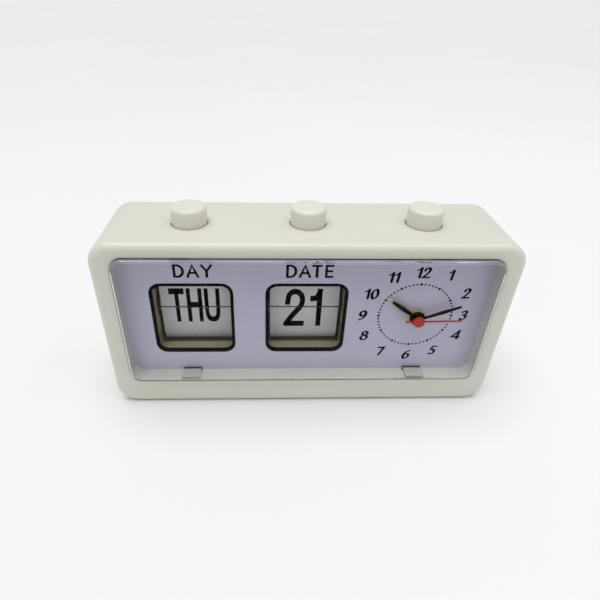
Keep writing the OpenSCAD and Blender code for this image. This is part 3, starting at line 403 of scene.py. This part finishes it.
def sweep(bm, section, centre, size, radius):
    """Loops of vertices for each point (outset, height) of a section swept round a rounded rectangle."""
    return [
        [
            bm.verts.new((*p, height))
            for p in rounded_loop(centre, (size[0] + 2 * out, size[1] + 2 * out), radius + out)
        ]
        for out, height in section
    ]


def skin(bm, loops, shade_smooth=False):
    """Faces between neighbouring loops."""
    for first, second in zip(loops, loops[1:]):
        for i in range(len(first)):
            j = (i + 1) % len(first)
            face = bm.faces.new((first[i], first[j], second[j], second[i]))
            face.smooth = shade_smooth


def extrude(bm, faces, shift):
    """Extrudes faces by a shift."""
    grown = bmesh.ops.extrude_face_region(bm, geom=faces)
    moved = [v for v in grown["geom"] if isinstance(v, bmesh.types.BMVert)]
    bmesh.ops.translate(bm, verts=moved, vec=shift)


def on_face(y):
    """From u, v and height in millimetres on a face that looks towards -Y at this y, to the part's frame."""
    turn = Matrix(((1, 0, 0, 0), (0, 0, -1, 0), (0, 1, 0, 0), (0, 0, 0, 1)))
    return Matrix.Translation((0, y, 0)) @ turn @ Matrix.Scale(MM, 4)


def add_piece(name, bm, place, body, made):
    """An object from drawn faces, which rides on a body."""
    bmesh.ops.recalc_face_normals(bm, faces=bm.faces[:])
    bm.transform(place)
    mesh = bpy.data.meshes.new(name)
    bm.to_mesh(mesh)
    bm.free()
    mesh.materials.append(made)
    piece = add_object(name, mesh)
    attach(piece, body)
    return piece


INK_T = 0.012


def print_ink(name, bm, place, body, keep=None, cut_v=0.0):
    """A thin layer of ink from drawn faces; keep says which side of height cut_v stays, above or below."""
    if keep:
        bmesh.ops.bisect_plane(
            bm, geom=bm.verts[:] + bm.edges[:] + bm.faces[:], plane_co=(0, cut_v, 0), plane_no=(0, 1, 0),
            clear_inner=keep == "above", clear_outer=keep == "below",
        )
    bmesh.ops.recalc_face_normals(bm, faces=bm.faces[:])
    extrude(bm, bm.faces[:], (0, 0, INK_T))
    add_piece(name, bm, place, body, INK)


# Clear window: a plate rounded along its front edge, with a hooked tab near each end above and below,
# in millimetres
LENS_LOW, LENS_HIGH = 15.8, 82.2
LENS_CORNER_R = 5.5
LENS_T = 2.8
LENS_EDGE_R = 0.8
ARC_STEPS = 9
TAB_X, TAB_W, TAB_T = 54.7, 8.8, 1.2
TAB_BACK = 9.9
HOOK_T = 1.2
HOOK_OUT, LUG_OUT = 1.6, 0.8

# Painted highlight and painted shade along the window's edge, which stand in for light bent in its thick edge and
# for the shadow in the gap round it: how wide they are, and how far back they reach
PAINTED_HIGHLIGHT_W = 0.35
PAINTED_HIGHLIGHT_DEPTH = 0.05
SIDE_PAINTED_SHADE_DEPTH = 0.4
PAINTED_SHADE_DEPTH = 1.7
EDGE_ZONE = 1.6
DEPTH_SLACK = 0.012

# Least cosine between a face's normal and a direction for the face to look that way, or roughly that way
LOOKS = 0.99
LOOKS_ROUGHLY = 0.5

lens_low, lens_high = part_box("lens")
lens_size = ((lens_high.x - lens_low.x) / MM, LENS_HIGH - LENS_LOW)
lens_middle = (LENS_LOW + LENS_HIGH) / 2


def pull(bm, centre, normal, shift):
    """Extrudes the face with about this centre and normal."""
    facing = (f for f in bm.faces if f.normal.dot(Vector(normal)) > LOOKS)
    near = min(facing, key=lambda f: (f.calc_center_median() - Vector(centre)).length)
    extrude(bm, [near], shift)
    bm.normal_update()


bm = bmesh.new()
turns = [math.pi / 2 * k / ARC_STEPS for k in range(ARC_STEPS + 1)]
rounding = [(LENS_EDGE_R * (math.sin(t) - 1), LENS_EDGE_R * (math.cos(t) - 1)) for t in turns]
section = [(-LENS_EDGE_R - PAINTED_HIGHLIGHT_W, 0), *rounding, (0, -PAINTED_SHADE_DEPTH), (0, -LENS_T)]
loops = sweep(bm, section, (0, lens_middle), lens_size, LENS_CORNER_R)
skin(bm, loops, shade_smooth=True)
bm.faces.new(loops[0])
bm.faces.new(loops[-1])
bmesh.ops.recalc_face_normals(bm, faces=bm.faces[:])

# The back is cut along the tabs' sides, so that each tab has a face to grow from
cuts = [((side * TAB_X + half * TAB_W / 2, 0), (1, 0)) for side in (-1, 1) for half in (-1, 1)]
cuts += [((0, LENS_LOW + TAB_T), (0, 1)), ((0, LENS_HIGH - TAB_T), (0, 1))]
for spot, normal in cuts:
    back = [f for f in bm.faces if f.normal.z < -LOOKS]
    parts = {part for f in back for part in (*f.verts, *f.edges)} | set(back)
    bmesh.ops.bisect_plane(bm, geom=list(parts), plane_co=(*spot, 0), plane_no=(*normal, 0))
bm.normal_update()
root, neck = -LENS_T, HOOK_T - TAB_BACK
for side in (-1, 1):
    for edge, outwards, reach in ((LENS_LOW, -1, HOOK_OUT), (LENS_HIGH, 1, LUG_OUT)):
        u, v = side * TAB_X, edge - outwards * TAB_T / 2
        pull(bm, (u, v, root), (0, 0, -1), (0, 0, neck - root))
        pull(bm, (u, v, neck), (0, 0, -1), (0, 0, -HOOK_T))
        pull(bm, (u, edge, neck - HOOK_T / 2), (0, outwards, 0), (0, outwards * reach, 0))
window = add_piece("front_window", bm, on_face(lens_low.y), "case", SLOT_MATERIALS["clear_plastic"])
for made in (WINDOW_RIM, WINDOW_TAB, WINDOW_PAINTED_HIGHLIGHT, WINDOW_PAINTED_SHADE):
    window.data.materials.append(made)
CLEAR, RIM, TAB, PAINTED_HIGHLIGHT, PAINTED_SHADE = range(5)


def window_finish(polygon):
    """Which of the window's materials a face has, by where it lies."""
    depth = (polygon.center.y - lens_low.y) / MM
    height = polygon.center.z / MM
    at_end = abs(polygon.center.x) > lens_high.x - EDGE_ZONE * MM
    beside = at_end and height < LENS_HIGH - LENS_CORNER_R
    below = height < LENS_LOW + EDGE_ZONE
    above = polygon.use_smooth and polygon.normal.z > LOOKS_ROUGHLY
    if LENS_T + DEPTH_SLACK < depth < TAB_BACK - HOOK_T - DEPTH_SLACK:
        return TAB
    # Painted highlight: the bright strip at the window's ends
    if beside and depth < PAINTED_HIGHLIGHT_DEPTH:
        return PAINTED_HIGHLIGHT
    # Painted shade: the outer side walls, the band behind the bottom rounding, the top behind its rounding and the
    # hooks take the dark material
    painted_shade = (
        beside and depth < SIDE_PAINTED_SHADE_DEPTH,
        below and LENS_EDGE_R < depth < PAINTED_SHADE_DEPTH,
        above and depth > PAINTED_SHADE_DEPTH,
        depth > LENS_T + DEPTH_SLACK,
    )
    if any(painted_shade):
        return PAINTED_SHADE
    return RIM if polygon.use_smooth else CLEAR


for polygon in window.data.polygons:
    polygon.material_index = window_finish(polygon)
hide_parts("lens")


# Button springs: coils that stand on the case
SPRING_TURNS = 6
TURN_STEPS = 20
WIRE_R = 0.25 * MM
WIRE_SIDES = 8


def add_spring(node):
    """A coil in the box of a spring's node."""
    low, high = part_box(node)
    middle = (low + high) / 2
    height = high.z - low.z
    count = SPRING_TURNS * TURN_STEPS
    up = Vector((0, 0, 1))
    sides = [2 * math.pi * i / WIRE_SIDES for i in range(WIRE_SIDES)]
    bm = bmesh.new()
    rings = []
    for k in range(count + 1):
        turn = 2 * math.pi * k / TURN_STEPS
        out = Vector((math.cos(turn), math.sin(turn), 0))
        rise = low.z + WIRE_R + (height - 2 * WIRE_R) * k / count
        centre = Vector((middle.x, middle.y, rise)) + (high.x - middle.x - WIRE_R) * out
        wire = [WIRE_R * (math.cos(a) * out + math.sin(a) * up) for a in sides]
        rings.append([bm.verts.new(centre + offset) for offset in wire])
    skin(bm, rings, shade_smooth=True)
    bm.faces.new(rings[0])
    bm.faces.new(rings[-1])
    coil = add_piece(node + "_coil", bm, Matrix.Identity(4), "case", SLOT_MATERIALS["steel"])
    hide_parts(node)
    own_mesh(coil)


for joint in frame["record"]["behaviour"]["joints"]:
    if joint["name"].endswith("_press_slide"):
        add_spring(joint["child"].replace("_press", "_button_spring"))


# Dial: labels, borders of the calendar windows, minute dots and numerals,
# in millimetres of the part's X and Z
dial_face = on_face(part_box("dial_plate")[0].y)
LABEL_Z = 68.8
LABEL_H = 6.6
LABEL_NIB = (0.6, 0.52, 0)
LABELS = {
    "day": [("D", -58.9, 4.9), ("A", -53.2, 5.6), ("Y", -46.9, 5.2)],
    "date": [("D", -9.8, 4.9), ("A", -4.2, 5.5), ("T", 1.5, 4.6), ("E", 7.3, 3.8)],
}
for bay, letters in LABELS.items():
    bm = bmesh.new()
    for letter, u, width in letters:
        draw_glyph(bm, PLAIN[letter], (u, LABEL_Z), (width, LABEL_H), LABEL_NIB)
    print_ink(bay + "_label", bm, dial_face, "case")

# The black border of a calendar window lies on the dial and lines the edge of the opening
BAY_X = {"day": -52.0, "date": 0.0}
BAY_SIZE = (34.8, 36.4)
BAY_CORNER_R = 4.0
SPLIT_Z = 46.2
BORDER_W = 1.4
BORDER_T = 0.06
DIAL_T = 1.4
section = [
    (0, 0), (BORDER_W, 0), (BORDER_W, BORDER_T),
    (-BORDER_T, BORDER_T), (-BORDER_T, -DIAL_T), (0, -DIAL_T),
]
for bay, u in BAY_X.items():
    bm = bmesh.new()
    loops = sweep(bm, section, (u, SPLIT_Z), BAY_SIZE, BAY_CORNER_R)
    skin(bm, [*loops, loops[0]])
    add_piece(bay + "_window_border", bm, dial_face, "case", INK)

MINUTES = 60
MINUTES_PER_HOUR_MARK = 5
RING_X, RING_Z, RING_R = 51.2, 48.2, 17.2
HOUR_DOT_R, MINUTE_DOT_R = 0.66, 0.48
DOT_SIDES = 14
bm = bmesh.new()
for minute in range(MINUTES):
    turn = math.radians(360 / MINUTES * minute)
    centre = (RING_X + RING_R * math.sin(turn), RING_Z + RING_R * math.cos(turn), 0)
    radius = MINUTE_DOT_R if minute % MINUTES_PER_HOUR_MARK else HOUR_DOT_R
    bmesh.ops.create_circle(bm, cap_ends=True, segments=DOT_SIDES, radius=radius,
                            matrix=Matrix.Translation(centre))
print_ink("dial_dots", bm, dial_face, "case")

NUMERAL_W, NUMERAL_H = 4.1, 5.7
NUMERAL_NIB = (0.7, 0.35, math.radians(24))
NUMERAL_SLANT = 0.08
NUMERALS = {
    1: (64.0, 70.3), 2: (72.9, 60.6), 3: (74.4, 48.3), 4: (73.3, 36.8),
    5: (63.7, 27.1), 6: (50.9, 24.4), 7: (37.8, 26.6), 8: (28.7, 36.4),
    9: (26.6, 48.3), 10: (29.2, 60.2), 11: (38.6, 69.0), 12: (51.0, 71.5),
}
# From one digit to the next in the numerals of two digits
DIGIT_STEP = {10: 3.2, 11: 2.7, 12: 3.1}
bm = bmesh.new()
for number, (u, v) in NUMERALS.items():
    digits = str(number)
    step = DIGIT_STEP.get(number, 0)
    for k, digit in enumerate(digits):
        shift = (k - (len(digits) - 1) / 2) * step
        corner = (u + shift - NUMERAL_W / 2, v - NUMERAL_H / 2)
        draw_glyph(bm, PEN[digit], corner, (NUMERAL_W, NUMERAL_H), NUMERAL_NIB, NUMERAL_SLANT,
                   round_ends=True)
print_ink("dial_numerals", bm, dial_face, "case")


# Leaves: each word is cut at the split line, and the next one waits on the next leaf and on the back
# of the leaf that falls
WORDS = {
    "day": {"now": [("T", -64.5, 7.2), ("H", -56.3, 7.3), ("U", -47.9, 7.3)],
            "next": [("F", -63.6, 6.8), ("R", -55.8, 7.6), ("I", -47.4, 3.4)],
            "v": 37.3, "height": 19.4, "nib": (0.95, 1.65, 0)},
    "date": {"now": [("2", -9.7, 10.2), ("1", 2.7, 6.6)],
             "next": [("2", -11.2, 10.2), ("2", 1.0, 10.2)],
             "v": 34.5, "height": 22.0, "nib": (1.25, 1.6, 0)},
}


def hinge_turn(joint, angle):
    """The turn of a joint's child about the joint's axis."""
    pivot = Matrix.Translation(joint["pos_m"])
    return pivot @ Matrix.Rotation(angle, 4, Vector(joint["axis"])) @ pivot.inverted()


joints = {j["name"]: j for j in frame["joints"]}
for bay, word in WORDS.items():
    leaf_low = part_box(bay + "_front_leaf")[0]
    face = on_face(leaf_low.y)
    low_edge = leaf_low.z / MM
    drum, leaf = joints[bay + "_drum_turn"], joints[bay + "_leaf_fall"]
    drum_end = hinge_turn(drum, math.radians(drum["range_deg"][1]))
    leaf_end = drum_end @ hinge_turn(leaf, math.radians(leaf["range_deg"][1]))
    places = {
        ("now", "above"): ("front", face, bay + "_flip_leaf"),
        ("now", "below"): ("fallen", face, bay + "_flip_drum"),
        ("next", "above"): ("waiting", drum_end.inverted() @ face, bay + "_flip_drum"),
        ("next", "below"): ("reverse", leaf_end.inverted() @ face, bay + "_flip_leaf"),
    }
    for (which, keep), (name, place, body) in places.items():
        bm = bmesh.new()
        for letter, u, width in word[which]:
            draw_glyph(bm, PLAIN[letter], (u, word["v"]), (width, word["height"]), word["nib"])
        cut_v = low_edge if keep == "above" else 2 * SPLIT_Z - low_edge
        print_ink(f"{bay}_ink_{name}", bm, place, body, keep, cut_v)


# Stage, light and camera, in metres
FLOOR_HALF = 60
FLOOR_TONES = ((233, 233, 233), (235, 235, 235))
FLOOR_ROUGHNESS, FLOOR_CLOUD = 0.9, 0.4
WORLD_LIGHT, BACKDROP = 0.5, 0.92
KEY_POWER, KEY_DIRECTION, KEY_ANGLE = 1.7, (0.1, 0.05, -1), math.radians(50)


def add_floor(name, half):
    corners = [(-half, -half, 0), (half, -half, 0), (half, half, 0), (-half, half, 0)]
    mesh = bpy.data.meshes.new(name)
    mesh.from_pydata(corners, [], [(0, 1, 2, 3)])
    paper = material("floor_paper", FLOOR_TONES[0], FLOOR_ROUGHNESS)
    mottle(paper, FLOOR_TONES, FLOOR_CLOUD)
    mesh.materials.append(paper)
    add_object(name, mesh)


def add_world(name, light, backdrop):
    """An even white surround that lights with one strength and shows behind the floor with another."""
    world = bpy.data.worlds.new(name)
    world.use_nodes = True
    tree = world.node_tree
    shown = tree.nodes.new("ShaderNodeBackground")
    for sky, strength in ((tree.nodes["Background"], light), (shown, backdrop)):
        sky.inputs["Color"].default_value = (1, 1, 1, 1)
        sky.inputs["Strength"].default_value = strength
    path = tree.nodes.new("ShaderNodeLightPath")
    mix = tree.nodes.new("ShaderNodeMixShader")
    tree.links.new(path.outputs["Is Camera Ray"], mix.inputs["Fac"])
    tree.links.new(tree.nodes["Background"].outputs["Background"], mix.inputs[1])
    tree.links.new(shown.outputs["Background"], mix.inputs[2])
    tree.links.new(mix.outputs["Shader"], tree.nodes["World Output"].inputs["Surface"])
    bpy.context.scene.world = world


def add_lamp(name, kind, energy, direction, **settings):
    lamp = bpy.data.lights.new(name, kind)
    lamp.energy = energy
    for setting, value in settings.items():
        setattr(lamp, setting, value)
    piece = add_object(name, lamp)
    piece.rotation_euler = Vector(direction).to_track_quat("-Z", "Y").to_euler()
    return piece


add_floor("floor", FLOOR_HALF)
add_world("studio", WORLD_LIGHT, BACKDROP)
add_lamp("key", "SUN", KEY_POWER, KEY_DIRECTION, angle=KEY_ANGLE)

# Long narrow lamps overhead, whose reflections draw streaks on the window's rim and on the buttons:
# name, place, width and power
STRIPS = (
    ("strip_left", (-0.32, -0.09, 0.85), 0.03, 0.4),
    ("strip_right", (0.415, -0.09, 0.85), 0.06, 0.85),
)
STRIP_LENGTH = 0.57
for name, at, width, power in STRIPS:
    strip = add_lamp(name, "AREA", power, (0, 0, -1), shape="RECTANGLE", size=width, size_y=STRIP_LENGTH)
    strip.location = at
bpy.context.scene.view_settings.view_transform = "Standard"

# The camera's place and axes were fitted to the photograph's outline, window, dial ring and buttons
CAMERA_AT = Vector((-18.705, -189.474, 176.26)) * MM
CAMERA_RIGHT = Vector((0.99931, -0.03068, 0.02085))
CAMERA_DOWN = Vector((0.00018, -0.55799, -0.82985))
CAMERA_FORWARD = Vector((0.0371, 0.82928, -0.5576))
CAMERA_SETTINGS = {
    "sensor_width": 36, "lens": 28, "shift_x": 0.0284, "shift_y": -0.0056, "clip_start": 0.01,
}
camera = bpy.data.cameras.new("camera")
for setting, value in CAMERA_SETTINGS.items():
    setattr(camera, setting, value)
shot = add_object("camera", camera)
axes = Matrix((CAMERA_RIGHT, -CAMERA_DOWN, -CAMERA_FORWARD)).transposed().to_4x4()
shot.matrix_world = Matrix.Translation(CAMERA_AT) @ axes
bpy.context.scene.camera = shot
